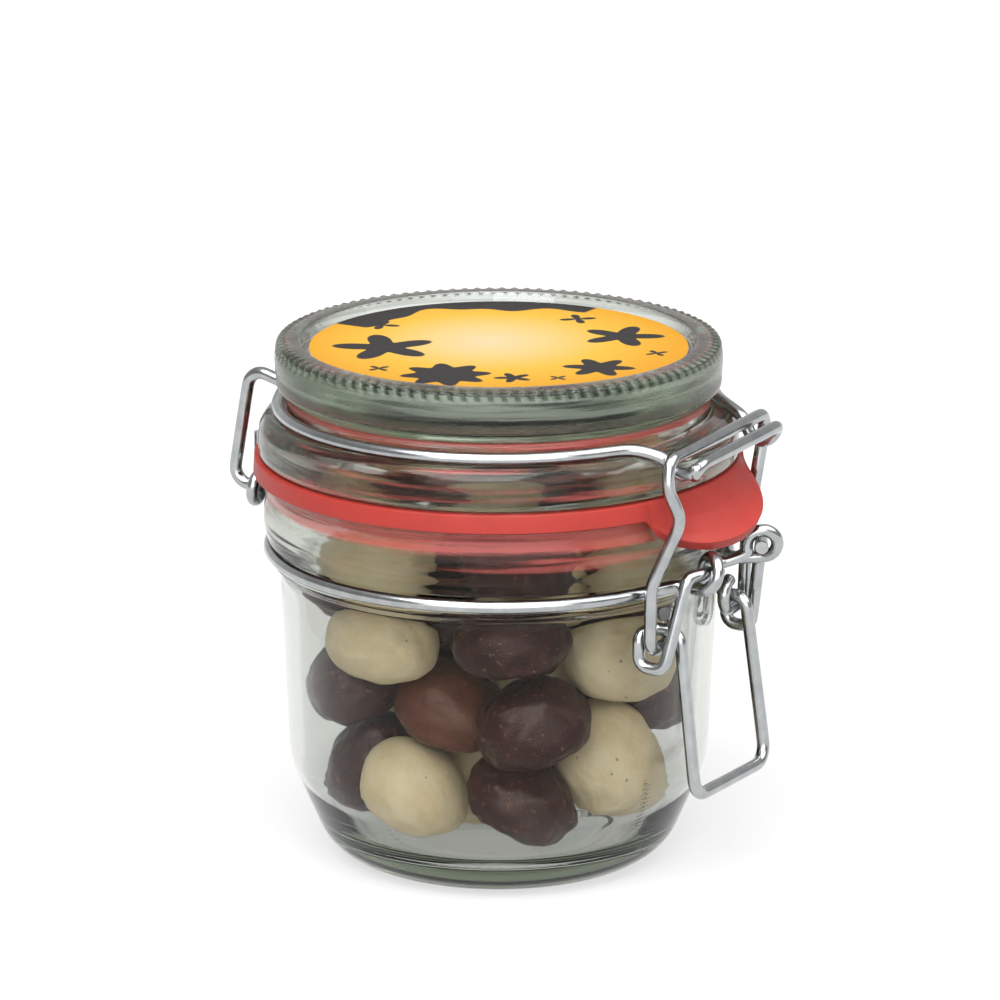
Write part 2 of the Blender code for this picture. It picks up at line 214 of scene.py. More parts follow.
class Tree:
    """A node tree, with one method that adds any node."""

    def __init__(self, nodes):
        self.nodes = nodes

    def add(self, kind, settings=None, sockets=None, out=0):
        node = self.nodes.nodes.new(kind)
        for key, value in (settings or {}).items():
            if key == "stops":
                self.set_stops(node.color_ramp, value)
            else:
                setattr(node, key, value)
        for key, value in (sockets or {}).items():
            if isinstance(value, Value):
                self.nodes.links.new(value.socket, node.inputs[key])
            else:
                node.inputs[key].default_value = value
        if out is None:
            return node
        return Value(self, node.outputs[out])

    @staticmethod
    def set_stops(ramp, stops):
        while len(ramp.elements) < len(stops):
            ramp.elements.new(1.0)
        for element, (place, colour) in zip(ramp.elements, stops):
            element.position = place
            element.color = (*colour, 1.0)

    def split(self, vector):
        node = self.add("ShaderNodeSeparateXYZ", None, {0: vector}, None)
        return [Value(self, node.outputs[k]) for k in range(3)]

    def joined(self, x, y, z):
        return self.add("ShaderNodeCombineXYZ", None, {0: x, 1: y, 2: z})

    def scaled(self, vector, scale):
        return self.add("ShaderNodeVectorMath", {"operation": "SCALE"}, {0: vector, "Scale": scale})

    def plus(self, vector, other):
        return self.add("ShaderNodeVectorMath", {"operation": "ADD"}, {0: vector, 1: other})

    def noise(self, vector, scale, detail=2.0, roughness=0.5, w=None):
        """Noise of about 0 to 1; scale is in waves per unit of the vector, and w picks another pattern."""
        sockets = {"Vector": vector, "Scale": scale, "Detail": detail, "Roughness": roughness}
        if w is None:
            return self.add("ShaderNodeTexNoise", {"noise_dimensions": "3D"}, sockets)
        return self.add("ShaderNodeTexNoise", {"noise_dimensions": "4D"}, {**sockets, "W": w})

    def cells(self, vector, scale):
        """How far the nearest of many scattered points is."""
        return self.add("ShaderNodeTexVoronoi", None, {"Vector": vector, "Scale": scale}, "Distance")


class Finish(Tree):
    """A material. Its patterns read the piece's own coordinates, in millimetres."""

    def __init__(self, name):
        self.material = bpy.data.materials.new(name)
        self.material.use_nodes = True
        self.material.node_tree.nodes.clear()
        super().__init__(self.material.node_tree)
        here = self.add("ShaderNodeTexCoord", None, None, "Object")
        self.place = self.add("ShaderNodeMapping", None, {"Vector": here, "Scale": (1000, 1000, 1000)})

    @staticmethod
    def solid(colour):
        """A plain colour as a socket takes it; one that varies stays as it is."""
        return colour if isinstance(colour, Value) else (*colour, 1.0)

    def mix(self, share, first, second):
        colours = {0: share, 6: self.solid(first), 7: self.solid(second)}
        return self.add("ShaderNodeMix", {"data_type": "RGBA"}, colours, 2)

    def ramp(self, share, stops):
        return self.add("ShaderNodeValToRGB", {"stops": stops}, {0: share})

    def attribute(self, name, out="Fac"):
        return self.add("ShaderNodeAttribute", {"attribute_name": name}, None, out)

    def bump(self, height, depth, under=None):
        """A bump from a height of 0 to 1 and its depth in millimetres."""
        sockets = {"Height": height, "Distance": depth * MM, "Strength": 1.0}
        if under is not None:
            sockets["Normal"] = under
        return self.add("ShaderNodeBump", None, sockets)

    def close(self, sockets):
        """Ends the material: the Principled shader with these sockets."""
        shader = self.add("ShaderNodeBsdfPrincipled", None, sockets)
        self.add("ShaderNodeOutputMaterial", None, {"Surface": shader}, None)
        return self.material


class Shape(Tree):
    """A Geometry Nodes tree with named inputs, run once on a piece and then removed."""

    def __init__(self, name, inputs):
        super().__init__(bpy.data.node_groups.new(name, "GeometryNodeTree"))
        face = self.nodes.interface
        face.new_socket("Geometry", in_out="INPUT", socket_type="NodeSocketGeometry")
        face.new_socket("Geometry", in_out="OUTPUT", socket_type="NodeSocketGeometry")
        self.ids = {}
        for key, kind in inputs.items():
            self.ids[key] = face.new_socket(key, in_out="INPUT", socket_type="NodeSocket" + kind).identifier
        node = self.add("NodeGroupInput", None, None, None)
        self.given = {key: Value(self, node.outputs[key]) for key in ("Geometry", *inputs)}

    def stored(self, geometry, name, value, kind):
        """The geometry with a value kept on its points, for its material to read."""
        return self.add("GeometryNodeStoreNamedAttribute", {"data_type": kind, "domain": "POINT"},
                        {"Geometry": geometry, "Name": name, "Value": value})

    def read(self, name, kind):
        return self.add("GeometryNodeInputNamedAttribute", {"data_type": kind}, {"Name": name})

    def finish(self, geometry):
        """Ends the tree: real geometry with the material on it."""
        real = self.add("GeometryNodeRealizeInstances", None, {0: geometry})
        smooth = self.add("GeometryNodeSetShadeSmooth", None, {0: real})
        coated = self.add("GeometryNodeSetMaterial", None,
                          {"Geometry": smooth, "Material": self.given["Material"]})
        self.add("NodeGroupOutput", None, {0: coated}, None)
        return self

    def run(self, obj, name, material, **values):
        """A plain mesh object with the tree's result; the object it ran on is removed."""
        modifier = obj.modifiers.new("shape", "NODES")
        modifier.node_group = self.nodes
        modifier[self.ids["Material"]] = material
        for key, value in values.items():
            modifier[self.ids[key.replace("_", " ").capitalize()]] = value
        graph = bpy.context.evaluated_depsgraph_get()
        mesh = bpy.data.meshes.new_from_object(obj.evaluated_get(graph), depsgraph=graph)
        obj.modifiers.clear()
        bpy.data.objects.remove(obj, do_unlink=True)
        mesh.name = name
        return put(name, mesh, material)


def put(name, data, material=None):
    """A new object in the scene, at the origin."""
    obj = bpy.data.objects.new(name, data)
    bpy.context.scene.collection.objects.link(obj)
    if material and material.name not in data.materials:
        data.materials.clear()
        data.materials.append(material)
    return obj


# ---------------------------------------------------------------- outlines and turned glass

def arc_at(before, here, after, radius, step):
    """The points of the arc of this radius that rounds the corner here, in the plane or in space."""
    a = (before - here).normalized()
    b = (after - here).normalized()
    half = a.angle(b) / 2
    middle = here + (a + b).normalized() * (radius / math.sin(half))
    start = here + a * (radius / math.tan(half)) - middle
    end = here + b * (radius / math.tan(half)) - middle
    sweep = math.pi - 2 * half
    count = max(1, round(math.degrees(sweep) / step))
    points = []
    for k in range(count + 1):
        share = k / count
        mixed = start * math.sin((1 - share) * sweep) + end * math.sin(share * sweep)
        points.append(middle + mixed / math.sin(sweep))
    return points


def bent(corners, step=BEND_STEP):
    """A line through corners, each given as its coordinates and the radius of its bend."""
    places = [Vector(corner[:-1]) for corner in corners]
    points = []
    for i, corner in enumerate(corners):
        if corner[-1] == 0 or i in (0, len(corners) - 1):
            points.append(places[i])
        else:
            points += arc_at(places[i - 1], places[i], places[i + 1], corner[-1], step)
    return points


def evenly(points, step):
    """The same line with no stretch longer than the step."""
    made = [points[0]]
    for p in points[1:]:
        length = (p - made[-1]).length
        if length < SHORTEST:
            continue
        start = made[-1]
        count = math.ceil(length / step)
        for k in range(1, count + 1):
            made.append(start.lerp(p, k / count))
    return made


def turned(name, outline, around):
    """A closed mesh turned about Z from an outline in (radius, z) that starts and ends on the axis."""
    inner = outline[1:-1]
    angles = np.arange(around) * math.tau / around
    rows = np.array([(p.x, p.y) for p in inner])
    points = np.stack(
        [np.outer(rows[:, 0], np.cos(angles)), np.outer(rows[:, 0], np.sin(angles)),
         np.repeat(rows[:, 1:], around, axis=1)], axis=2).reshape(-1, 3)
    first, last = len(points), len(points) + 1
    points = np.vstack([points, (0, 0, outline[0].y), (0, 0, outline[-1].y)]) * MM
    faces = []
    for k in range(around):
        j = (k + 1) % around
        faces.append((first, k, j))
        for row in range(len(inner) - 1):
            a = row * around
            faces.append((a + k, a + around + k, a + around + j, a + j))
        a = (len(inner) - 1) * around
        faces.append((last, a + j, a + k))
    return meshed(name, points.tolist(), faces)


def meshed(name, points, faces):
    """A mesh object whose faces point outwards."""
    mesh = bpy.data.meshes.new(name)
    mesh.from_pydata(points, [], faces)
    shape = bmesh.new()
    shape.from_mesh(mesh)
    bmesh.ops.recalc_face_normals(shape, faces=shape.faces)
    shape.to_mesh(mesh)
    shape.free()
    mesh.shade_smooth()
    return put(name, mesh)


def jar_outline():
    """The inside from its floor up, over the mouth, and down the outside to the base."""
    return evenly(bent([
        (0, FLOOR_TOP, 0),
        (29.4, FLOOR_TOP, 7),
        (35.3, 16.5, 12),
        (36.4, 52, 4),
        (35.4, 58, 4),
        (35.6, 66, 3),
        (36.9, JAR_RIM_TOP, 0.6),
        (41.4, JAR_RIM_TOP, 0.8),
        (41.3, 69.0, 1.5),
        (42.2, 65.2, 1.2),
        (42.35, 62.6, 2),
        (41.7, 59.2, 0.5),
        (39.7, 58.8, 0.4),
        (39.7, 56.0, 0.4),
        (41.0, 55.8, 0.5),
        (40.9, 55.0, 0.5),
        (39.45, 53.9, 1.0),
        (39.25, 46.0, 30),
        (38.0, 18.2, 16),
        (30.25, 0, 10),
        (21.4, 0, 0.5),
        (20.2, 0.9, 1.0),
        (0, 1.4, 0),
    ]), JAR_STEP)


def lid_outline():
    """The top with its recess, down the rim, the wire's groove and the flange, and up inside the hollow."""
    recess = LABEL_TOP - 2 * LABEL_THICKNESS
    return evenly(bent([
        (0, recess, 0),
        (34.6, recess, 0.4),
        (35.5, JAR_HEIGHT, 0.6),
        (37.8, JAR_HEIGHT, 0),
        (38.1, JAR_HEIGHT, 0),
        (38.4, JAR_HEIGHT, 0),
        (39.8, JAR_HEIGHT, 1.1),
        (39.95, 93.7, 0),
        (40.0, 93.3, 0),
        (40.05, 92.9, 0),
        (40.1, 92.2, 2),
        (39.9, 87.6, 1.2),
        (38.05, 85.7, 0.6),
        (38.05, 82.2, 0.6),
        (41.4, 82.4, 2.4),
        (42.9, 80.0, 2.0),
        (43.2, 77.6, 3.0),
        (43.1, 74.8, 0.7),
        (35.8, 74.8, 0.5),
        (35.6, 72.6, 0.5),
        (33.6, 72.6, 0.5),
        (33.2, 86.0, 4),
        (22.0, 89.4, 6),
        (0, 89.6, 0),
    ], LID_BEND_STEP), LID_STEP)


def bead_tree():
    """Slanted rounded beads round a turned rim, above the height Low and outside the radius Inner."""
    tree = Shape("beaded rim", {"Beads": "Int", "Depth": "Float", "Slant": "Float", "Low": "Float",
                                "Inner": "Float", "Fade": "Float", "Material": "Material"})
    given = tree.given
    x, y, z = tree.split(tree.add("GeometryNodeInputPosition"))
    angle = y.math("ARCTAN2", x)
    radius = (x * x + y * y).math("SQRT")
    wave = (angle * given["Beads"] + z * given["Slant"]).cos() * 0.5 + 0.5
    low = ((z - given["Low"]) / given["Fade"]).at_least(0).at_most(1)
    inner = ((radius - given["Inner"]) / given["Fade"]).at_least(0).at_most(1)
    depth = (1 - wave ** 1.6) * low * inner * given["Depth"] * -1.0
    push = tree.scaled(tree.add("GeometryNodeInputNormal"), depth)
    moved = tree.add("GeometryNodeSetPosition", None, {"Geometry": given["Geometry"], "Offset": push})
    return tree.finish(moved)


def stipple_tree():
    """Rows of small pressed dots round the foot of a turned jar, between the radii Inner and Outer."""
    tree = Shape("stippled foot", {"Dots": "Int", "Depth": "Float", "Pitch": "Float", "Inner": "Float",
                                   "Outer": "Float", "Material": "Material"})
    given = tree.given
    x, y, z = tree.split(tree.add("GeometryNodeInputPosition"))
    angle = y.math("ARCTAN2", x)
    radius = (x * x + y * y).math("SQRT")
    across = (radius / given["Pitch"] * math.tau).cos()
    along = (angle * given["Dots"]).cos()
    edge = 0.3 * MM
    ring = (radius - given["Inner"]).rise(0, edge) * (given["Outer"] - radius).rise(0, edge)
    depth = (1 - across * along) * 0.5 * ring * z.rise(1.2 * MM, 0.6 * MM) * given["Depth"]
    lift = tree.joined(0.0, 0.0, depth)
    moved = tree.add("GeometryNodeSetPosition", None, {"Geometry": given["Geometry"], "Offset": lift})
    return tree.finish(moved)


# ---------------------------------------------------------------- rubber ring

def tab_bump(angle):
    """How much of the tab's reach the rubber has at this angle from +X, from 0 to 1."""
    share = min(1.0, abs(math.degrees(angle)) / TAB_HALF_ANGLE)
    return ((1 + math.cos(math.pi * share)) / 2) ** 0.8


def ring_section(angle):
    """The rubber's section in (radius, z) at this angle: a flat band, or the drooping tab near +X."""
    bump = tab_bump(angle)
    edge = RING_RADIUS + TAB_REACH * bump
    # The tab hangs a little lower on its near side
    droop = (7.1 - 0.238 * edge * math.sin(angle)) * bump**0.3
    # and is 1 mm thinner than the band
    thickness = RING_TOP - RING_BOTTOM - 1.0 * min(1.0, 2 * bump)
    top = [Vector((RING_INNER, RING_TOP)), Vector((42.0, RING_TOP))]
    for k in range(4):
        t = k / 3
        out = TAB_ROOT + (edge - TAB_ROOT) * t
        top.append(Vector((out, RING_TOP - droop * (1 - (1 - t) ** 1.6))))
    under = [Vector((radius, RING_BOTTOM)) for radius in (RING_INNER, 41.6, TAB_ROOT)]
    for k in (3, 4, 5):
        along = (top[min(k + 1, 5)] - top[k - 1]).normalized()
        below = top[k] + Vector((along.y, -along.x)) * thickness
        nearest = UNDER_ROOT + 0.4 * (k - 2)
        under.append(Vector((max(below.x, nearest), below.y)))
    return softened(top + under[::-1], RING_CORNER)


def softened(corners, reach):
    """A closed outline with each corner turned into a small curve of five points."""
    points = []
    for i, here in enumerate(corners):
        before, after = corners[i - 1], corners[(i + 1) % len(corners)]
        start = here + (before - here) * min(0.4, reach / (before - here).length)
        end = here + (after - here) * min(0.4, reach / (after - here).length)
        for k in range(5):
            t = k / 4
            points.append(start * (1 - t) ** 2 + here * (2 * t * (1 - t)) + end * t * t)
    return points


def make_ring():
    """The rubber ring with its round tab, made from one section for each angle."""
    fine = round(TAB_HALF_ANGLE) + 1
    coarse = 122
    angles = [math.radians(degree) for degree in range(-fine, fine + 1)]
    angles += [math.radians(fine + (360 - 2 * fine) * k / coarse) for k in range(1, coarse)]
    sections = [ring_section(angle) for angle in angles]
    points = []
    for angle, section in zip(angles, sections):
        points += [(p.x * math.cos(angle) * MM, p.x * math.sin(angle) * MM, p.y * MM) for p in section]
    size = len(sections[0])
    faces = []
    for i in range(len(angles)):
        j = (i + 1) % len(angles)
        for k in range(size):
            m = (k + 1) % size
            faces.append((i * size + k, j * size + k, j * size + m, i * size + m))
    return meshed("ring_rubber", points, faces)


# ---------------------------------------------------------------- wires

def arc(radius, z, start, end, step=3.0):
    """Points on a level circle, from one angle to another, both in degrees."""
    count = max(1, round(abs(end - start) / step))
    points = []
    for k in range(count + 1):
        angle = math.radians(start + (end - start) * k / count)
        points.append(Vector((radius * math.cos(angle), radius * math.sin(angle), z)))
    return points


def eye_place(side, out, across, up):
    """A place near the middle of the latch eye: outwards in its plane, across it, and up."""
    x = EYE_X + LATCH_SHIFT[side] + out * math.cos(EYE_SPLAY) - across * math.sin(EYE_SPLAY)
    y = EYE_Y + out * math.sin(EYE_SPLAY) + across * math.cos(EYE_SPLAY)
    return (x, y, EYE_Z + up)


def mirrored(points, side):
    return [Vector((p.x, side * p.y, p.z)) for p in points]


def latch_eye(side):
    """A half of the neck wire at the latch: out of the groove, once round, and back in."""
    points = bent([
        (37.1, 18.1, NECK_WIRE_Z, 0),
        (*eye_place(side, -5.8, EYE_WIDTH / 2, NECK_WIRE_Z - EYE_Z), 2.6),
        (*eye_place(side, 0, EYE_WIDTH / 2, -EYE_RADIUS), 0),
    ])
    for k in range(1, 37):
        angle = math.radians(-90 + 300 * k / 36)
        across = EYE_WIDTH / 2 - EYE_WIDTH * min(1.0, k / 24)
        up = EYE_RADIUS * math.sin(angle)
        points.append(Vector(eye_place(side, EYE_RADIUS * math.cos(angle), across, up)))
    points += bent([(*eye_place(side, -3.8, -1.5, -2.0), 0), (41.4, 6.6, NECK_WIRE_Z, 0)])
    return mirrored(points, side)


def hinge_eye(side):
    """An end of the neck wire at the hinge: a stub down, once round about X, and into the groove."""
    y, z, radius = HINGE_Y, HINGE_Z, 2.75
    x_in, x_out = -43.6, -46.4
    points = bent([(x_out, y - radius, 73.6, 0), (x_out, y - radius, z + 1.5, 0)])
    for k in range(43):
        angle = math.radians(180 + 350 * k / 42)
        x = x_out + (x_in - x_out) * k / 42
        points.append(Vector((x, y + radius * math.cos(angle), z + radius * math.sin(angle))))
    points += bent([
        (x_in, y - radius, 61.4, 0),
        (x_in - 0.4, y - radius, NECK_WIRE_Z, 2.6),
        (-41.0, 7.4, NECK_WIRE_Z, 0),
    ])
    return mirrored(points, side)


def neck_wire_route():
    """From one hinge stub round the near side, across the front between the latch eyes, and back."""
    halves = []
    for side in (-1, 1):
        groove = arc(NECK_WIRE_RADIUS, NECK_WIRE_Z, side * 168.5, side * 26)
        halves.append(hinge_eye(side) + groove[1:] + latch_eye(side))
    return halves[0] + arc(NECK_WIRE_RADIUS, NECK_WIRE_Z, -8, 8) + halves[1][::-1]


def bail_half(side):
    """From one hinge end up, round the lid's groove, and out into the tongue at the latch."""
    half = bent([
        (-42.6, side * HINGE_Y, HINGE_Z, 0),
        (-50.6, side * HINGE_Y, HINGE_Z, 3.0),
        (-46.6, side * HINGE_Y, 86.4, 3.0),
        (-39.0, side * HINGE_Y, 84.0, 2.4),
        (-36.6, side * 15.2, BAIL_Z, 0),
    ])
    half += arc(BAIL_RADIUS, BAIL_Z, side * 153, side * 32)
    half += bent([
        (36.0, side * 18.2, BAIL_Z, 0),
        (41.0, side * 16.0, 82.0, 4),
        (44.2, side * 14.9, 75.2, 3.0),
        (47.8 + side * 0.9, side * 15.2, 81.4 + side * 0.4, 2.4),
        (47.8, 0.0, 81.4, 0),
    ])
    return half


def link_half(side):
    """From the hook round the lever's pin, up the leg, to the middle of the bar that holds the tongue."""
    x = CURL_X + LATCH_OUT[side]
    y = PIN_Y - LATCH_IN[side]
    half = []
    for k in range(22):
        angle = math.radians(96 + 8 * k)
        half.append(Vector((x, y + CURL_RADIUS * math.cos(angle), PIN_Z + CURL_RADIUS * math.sin(angle))))
    half += bent([
        (x, y, PIN_Z - CURL_RADIUS, 0),
        (x, y + 5.5, PIN_Z - CURL_RADIUS, 2.6),
        (x + 0.3, y + 5.9, 59.5, 6),
        (LINK_KINK[side], 17.9, 71.8, 5),
        (43.4, 19.4 - 0.6 * side, 77.4, 5),
        (43.6 + side * 0.4, 18.9 - 0.2 * side, 82.6, 2.6),
        (43.8, 0.0, 82.6, 0),
    ])
    return mirrored(half, side)


def lever_half(side):
    """From the cut end in the neck wire's eye, down and round the crank, along the pin, and down one leg."""
    out = LATCH_OUT[side]
    pin = PIN_Y - LATCH_IN[side]
    crank = pin + CRANK_OUT
    half = bent([
        (*eye_place(side, 0, -3.0, 0), 0),
        (*eye_place(side, 0, 4.6, 0), 2.0),
        (42.0 + out, crank, CRANK_LOW[side], 2.1),
        (37.1 + out, crank, CRANK_LOW[side] + 0.2, 2.1),
        (37.1 + out, crank, PIN_Z, 1.8),
        (38.0 + out, pin, PIN_Z, 1.8),
        (43.4 + 0.4 * side, pin, PIN_Z, 2.6),
        (LEVER_X + side * 0.5, 13.6, LEVER_Z - side * 0.4, 3.4),
        (LEVER_X, 0.0, LEVER_Z, 0),
    ])
    return mirrored(half, side)


def both_halves(half):
    """The near half and the far half as one line."""
    return half(-1) + half(1)[::-1][1:]


def wire_tree():
    """A round drawn wire along a curve. It keeps how far along and around the wire each point is."""
    tree = Shape("drawn wire", {"Thickness": "Float", "Sides": "Int", "Material": "Material"})
    given = tree.given
    half = given["Thickness"] * 0.5
    profile = tree.add("GeometryNodeCurvePrimitiveCircle", None,
                       {"Resolution": given["Sides"], "Radius": half})
    line = tree.add("GeometryNodeSplineParameter", None, None, "Length")
    curve = tree.stored(given["Geometry"], "along", line, "FLOAT")
    x, y, _ = tree.split(tree.add("GeometryNodeInputPosition"))
    profile = tree.stored(profile, "around", tree.joined(x, y, 0.0), "FLOAT_VECTOR")
    body = tree.add("GeometryNodeCurveToMesh", None,
                    {"Curve": curve, "Profile Curve": profile, "Fill Caps": True})
    return tree.finish(body)


def wire(name, points, tree, material):
    """A wire along these points, with its bends eased as in drawn wire."""
    curve = bpy.data.curves.new(name, "CURVE")
    curve.dimensions = "3D"
    spline = curve.splines.new("POLY")
    points = evenly(points, WIRE_STEP)
    for _ in range(WIRE_EASING):
        rows = zip(points, points[1:], points[2:])
        inner = [here * 0.5 + (before + after) * 0.25 for before, here, after in rows]
        points = [points[0], *inner, points[-1]]
    spline.points.add(len(points) - 1)
    for i, p in enumerate(points):
        spline.points[i].co = (*(p * MM), 1.0)
    return tree.run(put(name + "_line", curve), name, material, thickness=WIRE * MM, sides=WIRE_SIDES)


# ---------------------------------------------------------------- kruidnoten

# Each piece that lies against the glass where it shows: the angle round the jar from +X, the distance from
# the axis and the height of its middle, how far its long side is turned and its flat side is tipped, and
# its coating.
PLACED = (
    (-117, 25.6, 43.0, 0, 15, "white"),
    (-57, 25.2, 46.8, 0, 15, "dark"),
    (-4, 26.0, 40.0, 10, 40, "white"),
    (-136, 25.4, 33.5, 20, 40, "dark"),
    (-141, 25.0, 19.5, 60, 60, "dark"),
    (-93, 17.0, 29.4, 0, 30, "milk"),
    (-50, 26.0, 29.5, 20, 20, "dark"),
    (-13, 25.2, 23.4, 25, 15, "white"),
    (24, 25.5, 16.2, 0, 60, "white"),
    (17, 25.0, 30.0, 30, 60, "dark"),
    (-109, 24.8, 16.3, -25, 20, "white"),
    (-48, 23.8, 14.4, -28, 20, "dark"),
    (-116, 25.8, 59.0, 0, 20, "white"),
    (-55, 25.2, 61.5, 0, 20, "dark"),
    (8, 26.0, 55.5, 0, 20, "white"),
)

# How far from the axis the side of a piece can reach, at each height of its middle
REACH = {14: 30.8, 18: 32.8, 22: 34.4, 26: 35.3, 46: 36.2, 52: 35.2, 66: 35.2, 70: 32.8, 90: 32.0}

# How high each coating's broad lumps and its small bumps are, in millimetres
RELIEF = {"white": (1.7, 0.7), "milk": (1.7, 0.9), "dark": (2.3, 1.7)}


def facing(angle, turn, tip):
    """A piece's axes as columns: turned in the plane of the glass at this angle, then tipped out of it."""
    around = Matrix.Rotation(math.radians(angle), 3, "Z")
    upright = Matrix.Rotation(math.radians(90), 3, "Z") @ Matrix.Rotation(math.radians(tip), 3, "X")
    return np.array(around @ Matrix.Rotation(math.radians(turn), 3, "X") @ upright)


def small_turns(vectors):
    """Rotation matrices of small turn vectors, one for each piece."""
    turns = []
    for v in map(Vector, vectors):
        turns.append(np.array(Matrix.Rotation(v.length, 3, v) if v.length > 0 else Matrix.Identity(3)))
    return np.array(turns)


def kept_inside(balls, radius):
    """How far each piece, given as a few balls, has to move to be clear of the glass."""
    out = np.hypot(balls[..., 0], balls[..., 1]) + TINY
    reach = np.interp(balls[..., 2], list(REACH), list(REACH.values()))
    over = np.maximum(0, out - (reach - radius - GAP))
    worst = over.argmax(axis=1)
    rows = np.arange(len(balls))
    move = -balls[rows, worst] * (over[rows, worst] / out[rows, worst])[:, None]
    move[:, 2] = np.maximum(0, FLOOR_TOP + 2 * GAP + radius - balls[..., 2]).max(axis=1)
    move[:, 2] -= np.maximum(0, balls[..., 2] + radius - HEAP_TOP).max(axis=1)
    return move


def settled_pieces():
    """The middles and axes of all the pieces, once they have slid off one another and off the glass."""
    random = np.random.default_rng(7)
    wanted = []
    axes = []
    for angle, out, z, turn, tip, _ in PLACED:
        wanted.append((out * math.cos(math.radians(angle)), out * math.sin(math.radians(angle)), z))
        axes.append(facing(angle, turn, tip))
    wanted = np.array(wanted)
    fixed = len(wanted)
    rest = HEAP_COUNT - fixed
    for _ in range(rest):
        axes.append(facing(*random.uniform(0, 360, 3)))
    axes = np.array(axes)
    angles = random.uniform(0, math.tau, rest)
    spread = HEAP_SPREAD * np.sqrt(random.uniform(0, 1, rest))
    heights = np.linspace(HEAP_LOW, HEAP_TOP, rest)
    loose = np.column_stack([spread * np.cos(angles), spread * np.sin(angles), heights])
    middles = np.vstack([wanted, loose])
    # Each piece pushes as five balls: one in its middle, and two each along its length and its width
    ball = PIECE[2]
    sides = np.array([(0, 0, 0), (1, 0, 0), (-1, 0, 0), (0, 1, 0), (0, -1, 0)])
    bumps = sides * np.array([PIECE[0] - ball, PIECE[1] - ball, 0])
    size = len(bumps)
    owner = np.repeat(np.arange(HEAP_COUNT), size)
    there = owner != LEFT_OUT
    others = (owner[:, None] != owner[None, :]) & there[:, None] & there[None, :]
    for step in range(SETTLING_STEPS):
        arms = np.einsum("pij,bj->pbi", axes, bumps).reshape(-1, 3)
        balls = middles[owner] + arms
        away = balls[:, None, :] - balls[None, :, :]
        distance = np.linalg.norm(away, axis=2) + TINY
        overlap = np.where(others, np.maximum(0, 2 * ball + APART - distance), 0)
        shared = overlap.reshape(HEAP_COUNT, size, HEAP_COUNT, size).sum(axis=(1, 3)) + TINY
        weight = overlap / np.repeat(np.repeat(shared, size, 0), size, 1)
        push = np.einsum("ijk,ij->ik", away, weight * overlap / distance) * PUSH
        move = push.reshape(HEAP_COUNT, size, 3).sum(axis=1)
        spin = np.cross(arms, push).reshape(HEAP_COUNT, size, 3).sum(axis=1) * SPIN
        calm = step > CALM_FROM * SETTLING_STEPS
        if not calm:
            move[:, 2] -= SINKING
        pull = PULL_CALM if calm else PULL
        move[:fixed] = move[:fixed] * PLACED_MOVE + (wanted - middles[:fixed]) * pull
        spin[:fixed] *= PLACED_SPIN
        middles += move + kept_inside(balls.reshape(HEAP_COUNT, size, 3), ball)
        axes = np.einsum("pij,pjk->pik", small_turns(spin), axes)
    return middles, axes


def kruidnoot_tree():
    """A small round biscuit with a flat underside under a lumpy coating, at each point it is given."""
    tree = Shape("kruidnoten", {"Length": "Float", "Width": "Float", "Height": "Float", "Lumps": "Float",
                                "Bumps": "Float", "Material": "Material"})
    given = tree.given
    ball = tree.add("GeometryNodeMeshIcoSphere", None, {"Radius": 1.0, "Subdivisions": 5}, "Mesh")
    at = tree.add("GeometryNodeInputPosition")
    marked = tree.stored(ball, "own", at, "FLOAT_VECTOR")
    x, y, z = tree.split(at)
    underside, softness, flatness = -0.62, 0.5, 0.86
    flat = z.math("SMOOTH_MAX", underside, softness) * flatness + z * (1 - flatness)
    fuller = 1 + z.band(0.0, 0.2, 0.6) * 0.03
    size = tree.joined(x * given["Length"] * fuller, y * given["Width"] * fuller, flat * given["Height"])
    biscuit = tree.add("GeometryNodeSetPosition", None, {"Geometry": marked, "Position": size})
    facing_way = tree.add("FunctionNodeEulerToRotation", None, {0: tree.read("turn", "FLOAT_VECTOR")})
    many = tree.add("GeometryNodeInstanceOnPoints", None,
                    {"Points": given["Geometry"], "Instance": biscuit, "Rotation": facing_way})
    real = tree.add("GeometryNodeRealizeInstances", None, {0: many})
    own = tree.read("own", "FLOAT_VECTOR")
    number = tree.read("number", "FLOAT")
    lumps = (tree.noise(own, 1.1, 1.0, 0.4, w=number * 5.3) - 0.5) * given["Lumps"]
    bumps = (tree.noise(own, 2.5, 1.0, 0.4, w=number * 2.7 + 4.0) - 0.5) * given["Bumps"]
    push = tree.scaled(tree.add("GeometryNodeInputNormal"), lumps + bumps)
    return tree.finish(tree.add("GeometryNodeSetPosition", None, {"Geometry": real, "Offset": push}))


def make_kruidnoten(finishes):
    """The pieces of each coating as one object, on points that carry their turn and number."""
    tree = kruidnoot_tree()
    middles, axes = settled_pieces()
    random = np.random.default_rng(11)
    kinds = [row[-1] for row in PLACED]
    kinds += list(random.choice(["white", "milk", "dark"], HEAP_COUNT - len(kinds), p=[0.38, 0.24, 0.38]))
    for k in WHITE_AT_NECK:
        kinds[k] = "white"
    for kind, (lumps, bumps) in RELIEF.items():
        rows = [k for k in range(HEAP_COUNT) if kinds[k] == kind and k != LEFT_OUT]
        mesh = bpy.data.meshes.new(kind + "_points")
        mesh.from_pydata([tuple(middles[k] * MM) for k in rows], [], [])
        mesh.attributes.new("turn", "FLOAT_VECTOR", "POINT")
        mesh.attributes.new("number", "FLOAT", "POINT")
        for i, k in enumerate(rows):
            mesh.attributes["turn"].data[i].vector = Matrix(axes[k]).to_euler()
            mesh.attributes["number"].data[i].value = float(k)
        piece = tree.run(
            put(kind + "_points", mesh), "kruidnoten_" + kind, finishes[kind],
            length=(PIECE[0] - 0.3) * MM, width=(PIECE[1] - 0.3) * MM, height=(PIECE[2] - 0.2) * MM,
            lumps=lumps * MM, bumps=bumps * MM,
        )
        fit(piece, "chocolate", "kruidnoten")


